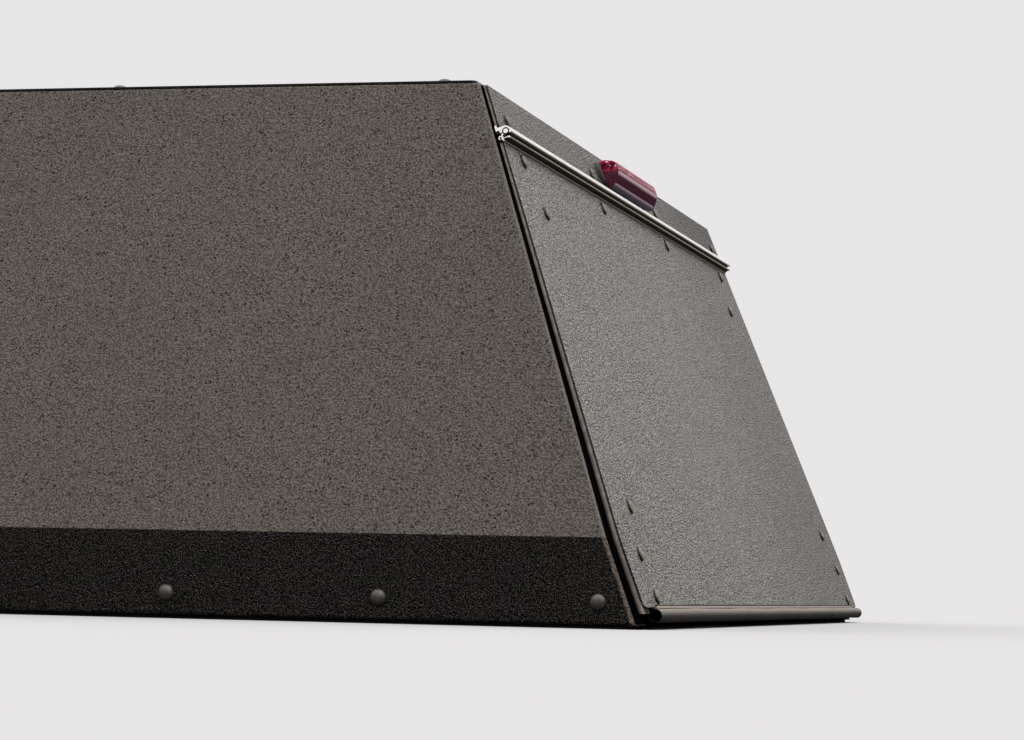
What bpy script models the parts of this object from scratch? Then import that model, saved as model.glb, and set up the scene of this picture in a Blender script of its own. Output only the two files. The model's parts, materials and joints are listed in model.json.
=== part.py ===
"""Pickup truck canopy: a bolted shell of folded sheet with a top hinged rear door.

Metres, Z up. +Y points to the cab, the rear door faces -Y and +X is the right side.
The origin is under the middle of the canopy, at the height of the bed rails.
"""

from math import asin, atan, atan2, cos, pi, radians, sin, tan

import bmesh
import bpy
from mathutils import Matrix, Vector

# Overall sizes
LENGTH = 1.55
BASE_WIDTH = 1.42
TOP_WIDTH = 1.172
HEIGHT = 0.5225
CREASE_HEIGHT = 0.0825
REAR_LEAN = radians(20.1)
FRONT_LEAN = radians(5.0)

# Sheet metal and clearances
SHEET = 0.0015
ROOF_SHEET = 0.002
FRAME_SHEET = 0.002
BEND = 0.003
GAP = 0.0003
BASE_FLANGE = 0.045
TOP_FLANGE = 0.030
ROOF_SETBACK = 0.0030
ROOF_CORNER = 0.0060

# Foam strip under the base
BASE_SEAL = 0.003
BASE_SEAL_WIDTH = 0.012
BASE_SEAL_INSET = 0.006

# How far the door's outer face stands behind the rear edge of the sides
STAND_BASE = 0.0145
STAND_TOP = 0.0070

# Rear frame and its rubber
JAMB_WIDTH = 0.028
JAMB_DEPTH = 0.030
SEAL_INSET = 0.0008
SEAL_WIDTH = 0.024
SEAL_FOOT = 0.0145
SEAL_THICK_BASE = 0.006
SEAL_THICK_TOP = 0.0025
HEADER_SEAL_THICK = 0.002
HEADER_LEG = 0.045
HEADER_TOP_DROP = 0.0050

# Hinge: two extrusions that hook into each other
HEADER_DROP = 0.0522
HINGE_STAND = 0.005
HOOK_TOP = 0.0056
HOOK_OUT = 0.0049
HOOK_LOW = 0.0026
HOOK_LIP = 0.0012
HOOK_SHOULDER = -0.0022
HOOK_STEPS = 8
SOCKET = 0.0032
SOCKET_START = radians(-40)
SOCKET_END = radians(185)
HOOK_FOOT = 0.0008
BEAD = 0.0028
ARM = 0.0014
ARM_ANGLE = radians(210)
LEG_THICK = 0.0012
RIB_TOP = 0.0060
RIB_THICK = 0.0008
RIB_OUT = 0.0018
RIB_EDGE = 0.0012
RIB_DROP = 0.0004
LEAF_THICK = 0.002
LEAF_REACH = 0.030
WEB_TOP = 0.007
WEB_THICK = 0.0015
LIP_DROP = 0.0007
LIP_THICK = 0.0008
EDGE_CLEAR = 0.001
HINGE_OVERHANG = 0.002

# Rear door
DOOR_BOTTOM = 0.0205
DOOR_CORNER = 0.006
DOOR_INSET = 0.0006
STILE_CLEAR = 0.007
CHANNEL_WIDTH = 0.032
CHANNEL_DEPTH = 0.018
TUBE_RADIUS = 0.007
TUBE_WALL = 0.0018
TUBE_STAND = 0.0015
CLIP_THICK = 0.0012
CLIP_LEG = 0.006

# Brake light
LIGHT_LENGTH = 0.266
LIGHT_HEIGHT = 0.024
LIGHT_BASE_THICK = 0.004
LENS_LENGTH = 0.272
LENS_HEIGHT = 0.026
LENS_DEPTH = 0.016
LENS_CHAMFER = 0.012
LIGHT_RISE = 0.030

# Inner stiffeners
BASE_RAIL_HEIGHT = 0.036
BASE_RAIL_WIDTH = 0.038
BASE_RAIL_THICK = 0.0025
BOW_WIDTH = 0.050
BOW_DEPTH = 0.022
BOW_SHEET = 0.0015
RIB_WIDTH = 0.045
RIB_DEPTH = 0.018
FRONT_ANGLE_RISE = 0.014
POST_LEG = 0.035
BOWS = 3

# Sizes that follow from those above
DECK = BASE_SEAL + GAP
SIDE_LEAN = atan((BASE_WIDTH - TOP_WIDTH) / 2 / (HEIGHT - CREASE_HEIGHT))
SIDE_TOP = HEIGHT - ROOF_SHEET - GAP
HEADER_TOP = HEIGHT - HEADER_TOP_DROP
HINGE_HEIGHT = HEIGHT - HEADER_DROP
DOOR_LEAN = atan(tan(REAR_LEAN) + (STAND_BASE - STAND_TOP) / (HEIGHT - DECK))
TUBE_HEIGHT = DOOR_BOTTOM - CLIP_THICK - 2 * GAP - TUBE_RADIUS
REAR_REACH = (STAND_BASE - (TUBE_HEIGHT - DECK) * tan(DOOR_LEAN)
              + TUBE_STAND + TUBE_RADIUS)
REAR_Y = (REAR_REACH - LENGTH) / 2
FRONT_Y = REAR_Y + LENGTH
TUBE_END_INSET = SEAL_INSET + SEAL_WIDTH + EDGE_CLEAR
FRAME_LEVELS = (DECK + BEND, "knee", SIDE_TOP - BEND - SHEET)


def clear_scene():
    for item in list(bpy.data.objects):
        bpy.data.objects.remove(item, do_unlink=True)
    for mesh in list(bpy.data.meshes):
        bpy.data.meshes.remove(mesh)
    for group in list(bpy.data.collections):
        bpy.data.collections.remove(group)


def make_collection(name):
    group = bpy.data.collections.new(name)
    bpy.context.scene.collection.children.link(group)
    return group


def make_material(name, colour, roughness, metallic):
    material = bpy.data.materials.new(name)
    material.use_nodes = True
    shader = material.node_tree.nodes["Principled BSDF"]
    shader.inputs["Base Color"].default_value = (*colour, 1.0)
    shader.inputs["Roughness"].default_value = roughness
    shader.inputs["Metallic"].default_value = metallic
    return material


# Planes and edges that the pieces share

def side_x(z, inset=0.0):
    """Half width at height z, on a face that lies inset inside the outer one."""
    knee = CREASE_HEIGHT - inset * tan(SIDE_LEAN / 2)
    if z <= knee:
        return BASE_WIDTH / 2 - inset
    return BASE_WIDTH / 2 - inset - (z - knee) * tan(SIDE_LEAN)


def knee_z(inset):
    return CREASE_HEIGHT - inset * tan(SIDE_LEAN / 2)


def side_rear_y(z):
    return REAR_Y + (z - DECK) * tan(REAR_LEAN)


def door_y(z, stand=0.0):
    """The door's outer plane, or one that stands out from it by stand."""
    return REAR_Y - STAND_BASE + (z - DECK) * tan(DOOR_LEAN) - stand / cos(DOOR_LEAN)


def front_y(z, inside=0.0):
    return FRONT_Y - (z - DECK) * tan(FRONT_LEAN) - inside / cos(FRONT_LEAN)


def side_front_y(z):
    """Front end of the side panels, just behind the front panel."""
    return front_y(z, SHEET + GAP)


def seal_thick(z):
    share = (z - DECK) / (HEIGHT - DECK)
    return SEAL_THICK_BASE + (SEAL_THICK_TOP - SEAL_THICK_BASE) * share


def jamb_y(z, inside=0.0):
    """Rear face of the jambs, behind the rubber, or a plane inside it."""
    return door_y(z, -(SHEET + 2 * GAP + seal_thick(z) + inside))


HINGE_AXIS = Vector((0.0, door_y(HINGE_HEIGHT, HINGE_STAND), HINGE_HEIGHT))


def from_hinge(out, up):
    """Y and Z of a point given from the hinge axis, out of the door and up its slope."""
    y = HINGE_AXIS.y + up * sin(DOOR_LEAN) - out * cos(DOOR_LEAN)
    z = HINGE_AXIS.z + up * cos(DOOR_LEAN) + out * sin(DOOR_LEAN)
    return y, z


def slope_at(z):
    """Distance up the door's outer face from the hinge axis to height z."""
    return (z - HINGE_AXIS.z + HINGE_STAND * sin(DOOR_LEAN)) / cos(DOOR_LEAN)


FACE = -HINGE_STAND
INNER = FACE - SHEET - GAP


# Shapes

def arc(radius, start, stop, steps, centre=(0.0, 0.0)):
    points = []
    for step in range(steps + 1):
        angle = start + (stop - start) * step / steps
        points.append((centre[0] + radius * cos(angle), centre[1] + radius * sin(angle)))
    return points


def folded(line, thick, radius, steps=3):
    """Closed outline of a sheet bent along line, with its metal on the line's left."""
    outer = [Vector(line[0])]
    first = (Vector(line[1]) - Vector(line[0])).normalized()
    inner = [Vector(line[0]) + thick * Vector((-first.y, first.x))]
    for before, corner, after in zip(line, line[1:], line[2:]):
        ahead = (Vector(corner) - Vector(before)).normalized()
        away = (Vector(after) - Vector(corner)).normalized()
        turn = -ahead.angle_signed(away)
        side = 1 if turn > 0 else -1
        left = side * Vector((-ahead.y, ahead.x))
        centre = Vector(corner) - radius * tan(abs(turn) / 2) * ahead + radius * left
        start = atan2(-left.y, -left.x)
        outer += arc(radius, start, start + turn, steps, centre)
        inner += arc(radius - side * thick, start, start + turn, steps, centre)
    last = (Vector(line[-1]) - Vector(line[-2])).normalized()
    outer.append(Vector(line[-1]))
    inner.append(Vector(line[-1]) + thick * Vector((-last.y, last.x)))
    return [tuple(point) for point in outer + inner[::-1]]


def swept(rings):
    """A closed body: the face of the first ring, extruded through the other rings."""
    mesh = bmesh.new()
    cap = mesh.faces.new([mesh.verts.new(point) for point in rings[0]])
    place = {tuple(vert.co): number for number, vert in enumerate(cap.verts)}
    for ring in rings[1:]:
        grown = bmesh.ops.extrude_face_region(mesh, geom=[cap])["geom"]
        if ring is not rings[1]:
            bmesh.ops.delete(mesh, geom=[cap], context="FACES_ONLY")
        cap = next(item for item in grown if isinstance(item, bmesh.types.BMFace))
        moved = {}
        for vert in cap.verts:
            number = place[tuple(vert.co)]
            vert.co = ring[number]
            moved[tuple(vert.co)] = number
        place = moved
    bmesh.ops.recalc_face_normals(mesh, faces=mesh.faces)
    return mesh


def add_piece(name, mesh, material, parent=None):
    """Name a body, give it its material and hang it on the empty that carries it."""
    data = bpy.data.meshes.new(name)
    if parent is not None:
        mesh.transform(Matrix.Translation(-parent.location))
    mesh.to_mesh(data)
    mesh.free()
    data.materials.append(material)
    piece = bpy.data.objects.new(name, data)
    piece.parent = parent
    CANOPY.objects.link(piece)
    return piece


def add_cutter(name, mesh, target):
    data = bpy.data.meshes.new(name)
    mesh.transform(Matrix.Translation(-target.parent.location) if target.parent else Matrix())
    mesh.to_mesh(data)
    mesh.free()
    cutter = bpy.data.objects.new(name, data)
    cutter.parent = target.parent
    cutter.hide_render = True
    cutter.display_type = "WIRE"
    CUTTERS.objects.link(cutter)
    cut = target.modifiers.new(name, "BOOLEAN")
    cut.operation = "DIFFERENCE"
    cut.object = cutter
    return cutter


def upright_body(section, levels, sign):
    """Sweep up a side: section gives inset and depth functions, levels the heights."""
    rings = []
    for level in levels:
        ring = []
        for inset, depth in section:
            z = knee_z(inset) if level == "knee" else level
            ring.append((sign * side_x(z, inset), depth(z), z))
        rings.append(ring)
    return swept(rings)


def lengthwise_body(section, rear, front):
    """Sweep a section of x and z along Y between two end planes."""
    return swept([[(x, rear(z), z) for x, z in section],
                  [(x, front(z), z) for x, z in section]])


def crosswise_body(section, end_inset, overhang=0.0):
    """Sweep a section of y and z along X, cut to the lean of the sides."""
    rings = []
    for sign in (-1, 1):
        rings.append([(sign * (side_x(z, end_inset) + overhang), y, z) for y, z in section])
    return swept(rings)


def rear_panel_body(bottom, top, inset, corner=0.0):
    """A sheet in the door's plane, with rounded lower corners."""
    half = [(side_x(bottom, inset), bottom)]
    if bottom < CREASE_HEIGHT < top:
        half.append((side_x(knee_z(inset), inset), knee_z(inset)))
    half.append((side_x(top, inset), top))
    if corner:
        x = half[0][0]
        half[0:1] = arc(corner, -pi / 2, 0.0, 4, (x - corner, bottom + corner))
    outline = half + [(-x, z) for x, z in reversed(half)]
    inward = (SHEET * cos(DOOR_LEAN), -SHEET * sin(DOOR_LEAN))
    outer = [(x, door_y(z), z) for x, z in outline]
    inner = [(x, y + inward[0], z + inward[1]) for x, y, z in outer]
    return swept([outer, inner])


# Canopy shell

def side_panels():
    for name, sign in (("left_side_panel", -1), ("right_side_panel", 1)):
        half = BASE_WIDTH / 2
        top = side_x(SIDE_TOP)
        line = [(half - BASE_FLANGE, DECK), (half, DECK), (half, CREASE_HEIGHT),
                (top, SIDE_TOP), (top - TOP_FLANGE, SIDE_TOP)]
        section = [(sign * x, z) for x, z in folded(line, SHEET, BEND)]
        add_piece(name, lengthwise_body(section, side_rear_y, side_front_y), COAT)


def roof_panel():
    levels = (HEIGHT - ROOF_SHEET, HEIGHT)
    rings = []
    for z in levels:
        x = side_x(z)
        centre = (x - ROOF_CORNER, side_rear_y(z) + ROOF_SETBACK + ROOF_CORNER)
        half = arc(ROOF_CORNER, -pi / 2, 0.0, 4, centre) + [(x, front_y(z))]
        rings.append([(across, along, z) for across, along in half]
                     + [(-across, along, z) for across, along in reversed(half)])
    add_piece("roof_panel", swept(rings), COAT)


def front_panel():
    rings = []
    for z in (DECK, CREASE_HEIGHT, SIDE_TOP):
        x = side_x(z)
        rings.append([(-x, front_y(z), z), (x, front_y(z), z),
                      (x, front_y(z, SHEET), z), (-x, front_y(z, SHEET), z)])
    add_piece("front_panel", swept(rings), COAT)


def base_seals():
    outer = BASE_WIDTH / 2 - BASE_SEAL_INSET
    inner = outer - BASE_SEAL_WIDTH
    for name, sign in (("base_seal_left", -1), ("base_seal_right", 1)):
        section = [(sign * outer, 0.0), (sign * inner, 0.0),
                   (sign * inner, BASE_SEAL), (sign * outer, BASE_SEAL)]
        body = lengthwise_body(section, lambda z: REAR_Y + BASE_SEAL_INSET,
                               lambda z: FRONT_Y - BASE_SEAL_INSET)
        add_piece(name, body, FOAM)
    front = FRONT_Y - BASE_SEAL_INSET
    back = front - BASE_SEAL_WIDTH
    reach = inner - GAP
    rings = [[(x, front, 0.0), (x, back, 0.0), (x, back, BASE_SEAL), (x, front, BASE_SEAL)]
             for x in (-reach, reach)]
    add_piece("base_seal_front", swept(rings), FOAM)


# Stiffeners inside the shell

def base_rails():
    """Angles that the bolts through the lower band pull against the side."""
    floor = DECK + SHEET + GAP
    wall = BASE_WIDTH / 2 - SHEET - GAP
    line = [(wall - BASE_RAIL_WIDTH, floor), (wall, floor), (wall, floor + BASE_RAIL_HEIGHT)]
    outline = folded(line, BASE_RAIL_THICK, BEND)
    for name, sign in (("base_rail_left", -1), ("base_rail_right", 1)):
        section = [(sign * x, z) for x, z in outline]
        body = lengthwise_body(section, lambda z: side_rear_y(z) + JAMB_DEPTH,
                               lambda z: side_front_y(z) - POST_LEG - BEND)
        add_piece(name, body, STEEL)


def front_angles():
    """Angles that join the front panel to the base and to the roof."""
    low = DECK + FRONT_ANGLE_RISE
    line = [(side_front_y(DECK) - BASE_RAIL_WIDTH, DECK), (side_front_y(DECK), DECK),
            (side_front_y(low), low)]
    section = folded(line, FRAME_SHEET, BEND)
    add_piece("front_base_angle", crosswise_body(section, BASE_FLANGE + BEND), STEEL)
    high = SIDE_TOP - TOP_FLANGE
    line = [(side_front_y(high), high), (side_front_y(SIDE_TOP), SIDE_TOP),
            (side_front_y(SIDE_TOP) - TOP_FLANGE, SIDE_TOP)]
    section = folded(line, FRAME_SHEET, BEND)
    add_piece("front_roof_angle", crosswise_body(section, POST_LEG + 2 * BEND), STEEL)


def corner_posts():
    first = SHEET + GAP
    outline = folded([(first, POST_LEG), (first, 0.0), (first + POST_LEG, 0.0)], FRAME_SHEET, BEND)
    section = [(inset, lambda z, b=b: front_y(z, SHEET + GAP + b)) for inset, b in outline]
    for name, sign in (("front_corner_post_left", -1), ("front_corner_post_right", 1)):
        add_piece(name, upright_body(section, FRAME_LEVELS, sign), STEEL)


def bow_places():
    rear = side_rear_y(HEIGHT)
    return [rear + (front_y(HEIGHT) - rear) * (number + 1) / (BOWS + 1) for number in range(BOWS)]


def roof_bows():
    top = SIDE_TOP - SHEET - GAP
    for name, y in zip(("roof_bow_rear", "roof_bow_middle", "roof_bow_front"), bow_places()):
        half = BOW_WIDTH / 2
        line = [(y - half, top), (y - half, top - BOW_DEPTH), (y + half, top - BOW_DEPTH),
                (y + half, top)]
        section = folded(line, BOW_SHEET, BEND)
        add_piece(name, crosswise_body(section, SHEET + BEND), STEEL)


def side_ribs():
    first = SHEET + GAP
    bottom = DECK + SHEET + BASE_RAIL_HEIGHT + 2 * GAP
    top = SIDE_TOP - SHEET - BOW_DEPTH - 2 * GAP
    for where, y in zip(("rear", "middle", "front"), bow_places()):
        half = RIB_WIDTH / 2
        line = [(first, -half), (first + RIB_DEPTH, -half), (first + RIB_DEPTH, half),
                (first, half)]
        outline = folded(line, BOW_SHEET, BEND)
        section = [(inset, lambda z, d=d: y + d) for inset, d in outline]
        for side, sign in (("left", -1), ("right", 1)):
            body = upright_body(section, (bottom, "knee", top), sign)
            add_piece(f"{side}_rib_{where}", body, STEEL)


# Rear frame, header and their rubber

def rear_jambs():
    first = SHEET + GAP
    outline = folded([(first, JAMB_DEPTH), (first, 0.0), (first + JAMB_WIDTH, 0.0)],
                     FRAME_SHEET, BEND)
    section = [(inset, lambda z, b=b: jamb_y(z, b)) for inset, b in outline]
    for name, sign in (("rear_jamb_left", -1), ("rear_jamb_right", 1)):
        add_piece(name, upright_body(section, FRAME_LEVELS, sign), STEEL)


def frame_seals():
    """Rubber strips between the jambs and the door, thicker towards the base."""
    def outer(z):
        return door_y(z, -(SHEET + GAP))

    def inner(z):
        return door_y(z, -(SHEET + GAP + seal_thick(z)))

    near, far = SEAL_INSET, SEAL_INSET + SEAL_WIDTH
    section = [(near, outer), (far, outer), (far, inner), (near, inner)]
    for name, sign in (("frame_seal_left", -1), ("frame_seal_right", 1)):
        body = upright_body(section, (SEAL_FOOT, "knee", HEADER_TOP), sign)
        add_piece(name, body, RUBBER)


def rear_header():
    """The header sheet, the angle behind it and the rubber along its top."""
    bottom = HINGE_AXIS.z + (HOOK_TOP + EDGE_CLEAR) * cos(DOOR_LEAN)
    add_piece("rear_header_panel", rear_panel_body(bottom, HEADER_TOP, DOOR_INSET), COAT)
    back = INNER - LEAF_THICK - GAP
    corner = from_hinge(back, slope_at(SIDE_TOP) - (back - FACE) * tan(DOOR_LEAN))
    line = [(corner[0] + HEADER_LEG, SIDE_TOP), (corner[0], SIDE_TOP),
            from_hinge(back, -FRAME_SHEET)]
    section = folded(line, FRAME_SHEET, BEND)
    add_piece("header_angle", crosswise_body(section, JAMB_WIDTH + 2 * BEND), STEEL)
    low = LEAF_REACH + GAP
    high = slope_at(HEADER_TOP)
    section = [from_hinge(INNER, low), from_hinge(INNER, high),
               from_hinge(INNER - HEADER_SEAL_THICK, high),
               from_hinge(INNER - HEADER_SEAL_THICK, low)]
    add_piece("header_seal", crosswise_body(section, SEAL_INSET + SEAL_WIDTH + GAP), RUBBER)


# Hinge

def leaf_notches(leaf):
    """Cut the leaf's flange away at both ends, where the frame rubber passes."""
    reach = LEAF_REACH + BEND
    near, far = FACE - SHEET - GAP / 2, INNER - 2 * LEAF_THICK
    corners = [from_hinge(out, up) for out, up in
               ((near, -reach), (near, reach), (far, reach), (far, -reach))]
    for side, sign in (("left", -1), ("right", 1)):
        rings = []
        for beyond in (0.0, 2 * JAMB_WIDTH):
            rings.append([(sign * (side_x(z, SEAL_INSET + SEAL_WIDTH + GAP) + beyond), y, z)
                          for y, z in corners])
        add_cutter(f"{leaf.name}_notch_{side}", swept(rings), leaf)


def hinge_upper_leaf():
    """Flange behind the header sheet and a hood round the socket for the bead."""
    back = INNER - LEAF_THICK
    outline = [(back, LEAF_REACH), (INNER, LEAF_REACH), (INNER, HOOK_TOP)]
    reach = HOOK_OUT - HOOK_SHOULDER
    rise = HOOK_TOP + HOOK_LOW
    for step in range(HOOK_STEPS + 1):
        angle = pi / 2 * (1 - step / HOOK_STEPS)
        outline.append((HOOK_SHOULDER + reach * cos(angle), rise * sin(angle) - HOOK_LOW))
    outline.append((HOOK_OUT - HOOK_LIP, -HOOK_LOW))
    outline += arc(SOCKET, SOCKET_START, SOCKET_END, 16)
    outline.append((back, -HOOK_FOOT))
    section = [from_hinge(out, up) for out, up in outline]
    leaf = add_piece("hinge_upper_leaf", crosswise_body(section, 0.0, HINGE_OVERHANG), ALUMINIUM)
    leaf_notches(leaf)


def hinge_lower_leaf(axis):
    """Bead, arm, rain rib, web over the door's top edge, lip and flange behind it."""
    back = INNER - LEAF_THICK
    web_low = -(WEB_TOP + WEB_THICK)
    lip = FACE + GAP + LIP_THICK
    leg = lip - LEG_THICK
    half = ARM / 2
    meet = asin(half / BEAD)
    slope = tan(ARM_ANGLE)
    side = half / cos(ARM_ANGLE)
    rib_low = -(RIB_TOP + RIB_THICK)
    outline = arc(BEAD, ARM_ANGLE + meet - 2 * pi, ARM_ANGLE - meet, 18)
    outline += [(leg, leg * slope - side), (leg, -WEB_TOP), (back, -WEB_TOP),
                (back, -LEAF_REACH), (INNER, -LEAF_REACH), (INNER, web_low),
                (lip - LIP_THICK, web_low), (lip - LIP_THICK, web_low - LIP_DROP),
                (lip, web_low - LIP_DROP), (lip, rib_low), (RIB_OUT - RIB_EDGE, rib_low),
                (RIB_OUT - RIB_EDGE, rib_low - RIB_DROP), (RIB_OUT, rib_low - RIB_DROP),
                (RIB_OUT, -RIB_TOP), (lip, -RIB_TOP), (lip, lip * slope + side)]
    section = [from_hinge(out, up) for out, up in outline]
    body = crosswise_body(section, 0.0, HINGE_OVERHANG)
    leaf = add_piece("hinge_lower_leaf", body, ALUMINIUM, axis)
    leaf_notches(leaf)


# Brake light on the header

def header_outline(length, height, corner, out):
    """Rounded rectangle round the light's centre, standing out from the header."""
    x, up = length / 2 - corner, height / 2 - corner
    points = []
    for quarter, (sx, sy) in enumerate(((1, 1), (-1, 1), (-1, -1), (1, -1))):
        points += arc(corner, quarter * pi / 2, (quarter + 1) * pi / 2, 4, (sx * x, sy * up))
    return [(px, *from_hinge(FACE + out, LIGHT_RISE + py)) for px, py in points]


def brake_light():
    base = [header_outline(LIGHT_LENGTH, LIGHT_HEIGHT, LENS_CHAMFER, out)
            for out in (GAP, GAP + LIGHT_BASE_THICK)]
    add_piece("brake_light_base", swept(base), PLASTIC)
    foot = 2 * GAP + LIGHT_BASE_THICK
    slope = LENS_CHAMFER / 2
    rings = [header_outline(LENS_LENGTH, LENS_HEIGHT, slope, foot),
             header_outline(LENS_LENGTH, LENS_HEIGHT, slope, foot + LENS_DEPTH / 2),
             header_outline(LENS_LENGTH - 2 * LENS_CHAMFER, LENS_HEIGHT - slope, slope / 2,
                            foot + LENS_DEPTH)]
    add_piece("brake_light_lens", swept(rings), RED)


# Rear door

def door_stiles(axis):
    first = SHEET + GAP + JAMB_WIDTH + STILE_CLEAR
    line = [(first + CHANNEL_WIDTH, 0.0), (first + CHANNEL_WIDTH, CHANNEL_DEPTH),
            (first, CHANNEL_DEPTH), (first, 0.0)]
    outline = folded(line, BOW_SHEET, BEND)
    section = [(inset, lambda z, b=b: door_y(z, -(SHEET + GAP + b))) for inset, b in outline]
    top = HINGE_AXIS.z - (LEAF_REACH + EDGE_CLEAR) * cos(DOOR_LEAN) - CHANNEL_DEPTH * sin(DOOR_LEAN)
    bottom = DOOR_BOTTOM + CLIP_LEG + BEND
    for name, sign in (("door_stile_left", -1), ("door_stile_right", 1)):
        body = upright_body(section, (bottom, "knee", top), sign)
        add_piece(name, body, STEEL, axis)
    return first + CHANNEL_WIDTH, bottom


def door_rails(axis, end_inset, bottom):
    low = slope_at(bottom)
    high = -(LEAF_REACH + EDGE_CLEAR + CHANNEL_WIDTH)
    for name, up in (("door_bottom_rail", low + BEND), ("door_top_rail", high)):
        line = [(INNER, up + CHANNEL_WIDTH), (INNER - CHANNEL_DEPTH, up + CHANNEL_WIDTH),
                (INNER - CHANNEL_DEPTH, up), (INNER, up)]
        outline = folded(line, BOW_SHEET, BEND)
        section = [from_hinge(out, along) for out, along in outline]
        add_piece(name, crosswise_body(section, end_inset + GAP), STEEL, axis)


def door_bottom_seal(axis):
    """Edge clip on the door sheet and the hollow rubber tube below it."""
    edge = slope_at(DOOR_BOTTOM) - GAP
    out = FACE + GAP
    back = FACE - SHEET - GAP
    outline = [(out + CLIP_THICK, edge + CLIP_LEG / 2), (out, edge + CLIP_LEG / 2), (out, edge),
               (back, edge), (back, edge + CLIP_LEG), (back - CLIP_THICK, edge + CLIP_LEG),
               (back - CLIP_THICK, edge - CLIP_THICK), (out + CLIP_THICK, edge - CLIP_THICK)]
    section = [from_hinge(a, b) for a, b in outline]
    add_piece("door_seal_clip", crosswise_body(section, TUBE_END_INSET), RUBBER, axis)
    centre = from_hinge(FACE + TUBE_STAND, edge - CLIP_THICK - GAP - TUBE_RADIUS)
    mesh = bmesh.new()
    bmesh.ops.create_cone(mesh, segments=20, radius1=TUBE_RADIUS, radius2=TUBE_RADIUS,
                          depth=BASE_WIDTH - 2 * TUBE_END_INSET,
                          matrix=Matrix.Translation((0.0, *centre)) @ Matrix.Rotation(pi / 2, 4, "Y"))
    tube = add_piece("door_bottom_seal", mesh, RUBBER, axis)
    wall = tube.modifiers.new("wall", "SOLIDIFY")
    wall.thickness = TUBE_WALL
    wall.offset = -1.0


def rear_door():
    axis = bpy.data.objects.new("rear_door_axis", None)
    axis.location = HINGE_AXIS
    CANOPY.objects.link(axis)
    top = HINGE_AXIS.z - (WEB_TOP + WEB_THICK + GAP) * cos(DOOR_LEAN) + FACE * sin(DOOR_LEAN)
    sheet = rear_panel_body(DOOR_BOTTOM, top, DOOR_INSET, DOOR_CORNER)
    add_piece("door_skin", sheet, COAT, axis)
    hinge_lower_leaf(axis)
    end_inset, bottom = door_stiles(axis)
    door_rails(axis, end_inset, bottom)
    door_bottom_seal(axis)


clear_scene()
CANOPY = make_collection("pickup_canopy")
CUTTERS = make_collection("cutters")
COAT = make_material("textured coat", (0.075, 0.070, 0.065), 0.55, 0.0)
STEEL = make_material("black steel frame", (0.02, 0.02, 0.02), 0.5, 0.0)
ALUMINIUM = make_material("aluminium", (0.75, 0.75, 0.74), 0.3, 1.0)
RUBBER = make_material("black rubber", (0.03, 0.03, 0.03), 0.45, 0.0)
FOAM = make_material("black foam", (0.015, 0.015, 0.015), 0.9, 0.0)
PLASTIC = make_material("black plastic", (0.02, 0.02, 0.02), 0.4, 0.0)
RED = make_material("red lens", (0.35, 0.01, 0.02), 0.1, 0.0)
side_panels()
roof_panel()
front_panel()
base_seals()
base_rails()
front_angles()
corner_posts()
roof_bows()
side_ribs()
rear_jambs()
frame_seals()
rear_header()
hinge_upper_leaf()
brake_light()
rear_door()
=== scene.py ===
"""Finishes, fasteners, rubber and brake light of the pickup truck canopy."""

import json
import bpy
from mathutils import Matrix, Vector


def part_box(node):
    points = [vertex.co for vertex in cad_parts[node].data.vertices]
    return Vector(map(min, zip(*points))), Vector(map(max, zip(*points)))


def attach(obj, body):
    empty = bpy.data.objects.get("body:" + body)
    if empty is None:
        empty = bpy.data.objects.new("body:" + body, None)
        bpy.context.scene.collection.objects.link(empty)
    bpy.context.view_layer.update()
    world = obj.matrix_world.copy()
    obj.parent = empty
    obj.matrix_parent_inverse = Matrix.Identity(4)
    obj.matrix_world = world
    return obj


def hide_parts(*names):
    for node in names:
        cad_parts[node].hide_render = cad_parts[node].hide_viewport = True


bl_info = {
    "name": "Pickup truck canopy",
    "version": (1, 0, 0),
    "blender": (4, 5, 0),
    "location": "View3D > Sidebar > Canopy",
    "description": "Dresses the canopy: textured coat, bolts, rivets, rubber and brake light",
    "category": "Object",
}

from math import atan, cos, pi, radians, sin, tan

import bmesh
import bpy
from bpy.props import FloatProperty, FloatVectorProperty, IntProperty, PointerProperty
from bpy.types import Operator, Panel, PropertyGroup
from mathutils import Matrix, Vector

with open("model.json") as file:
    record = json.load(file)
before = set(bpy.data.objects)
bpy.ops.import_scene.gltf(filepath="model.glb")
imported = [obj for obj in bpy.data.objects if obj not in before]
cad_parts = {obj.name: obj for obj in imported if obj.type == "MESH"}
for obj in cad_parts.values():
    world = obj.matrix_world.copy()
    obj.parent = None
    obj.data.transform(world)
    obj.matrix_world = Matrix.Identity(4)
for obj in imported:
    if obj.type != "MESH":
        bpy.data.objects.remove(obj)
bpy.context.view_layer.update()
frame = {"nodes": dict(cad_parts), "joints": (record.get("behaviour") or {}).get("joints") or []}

# Sizes that the part's source gives the shell, the seals and the hinge
DECK = 0.0033
DOOR_BOTTOM = 0.0205
CREASE_HEIGHT = 0.0825
BASE_HALF = 0.71
TOP_HALF = 0.586
REAR_LEAN = radians(20.1)
STAND_BASE = 0.0145
STAND_TOP = 0.0070
SHEET = 0.0015
GAP = 0.0003
SEAL_INSET = 0.0008
SEAL_WIDTH = 0.024
SEAL_THICK_BASE = 0.006
SEAL_THICK_TOP = 0.0025
CLIP_THICK = 0.0012
CLIP_LEG = 0.006
HINGE_STAND = 0.005
HINGE_OVERHANG = 0.002
SOCKET = 0.0032
BEAD = 0.0028
LIGHT_RISE = 0.030
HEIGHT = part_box("roof_panel")[1].z
REAR_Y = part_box("left_side_panel")[0].y
SIDE_LEAN = atan((BASE_HALF - TOP_HALF) / (HEIGHT - CREASE_HEIGHT))
DOOR_LEAN = atan(tan(REAR_LEAN) + (STAND_BASE - STAND_TOP) / (HEIGHT - DECK))
HINGE = Vector(frame["joints"][0]["pos_m"])

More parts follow.
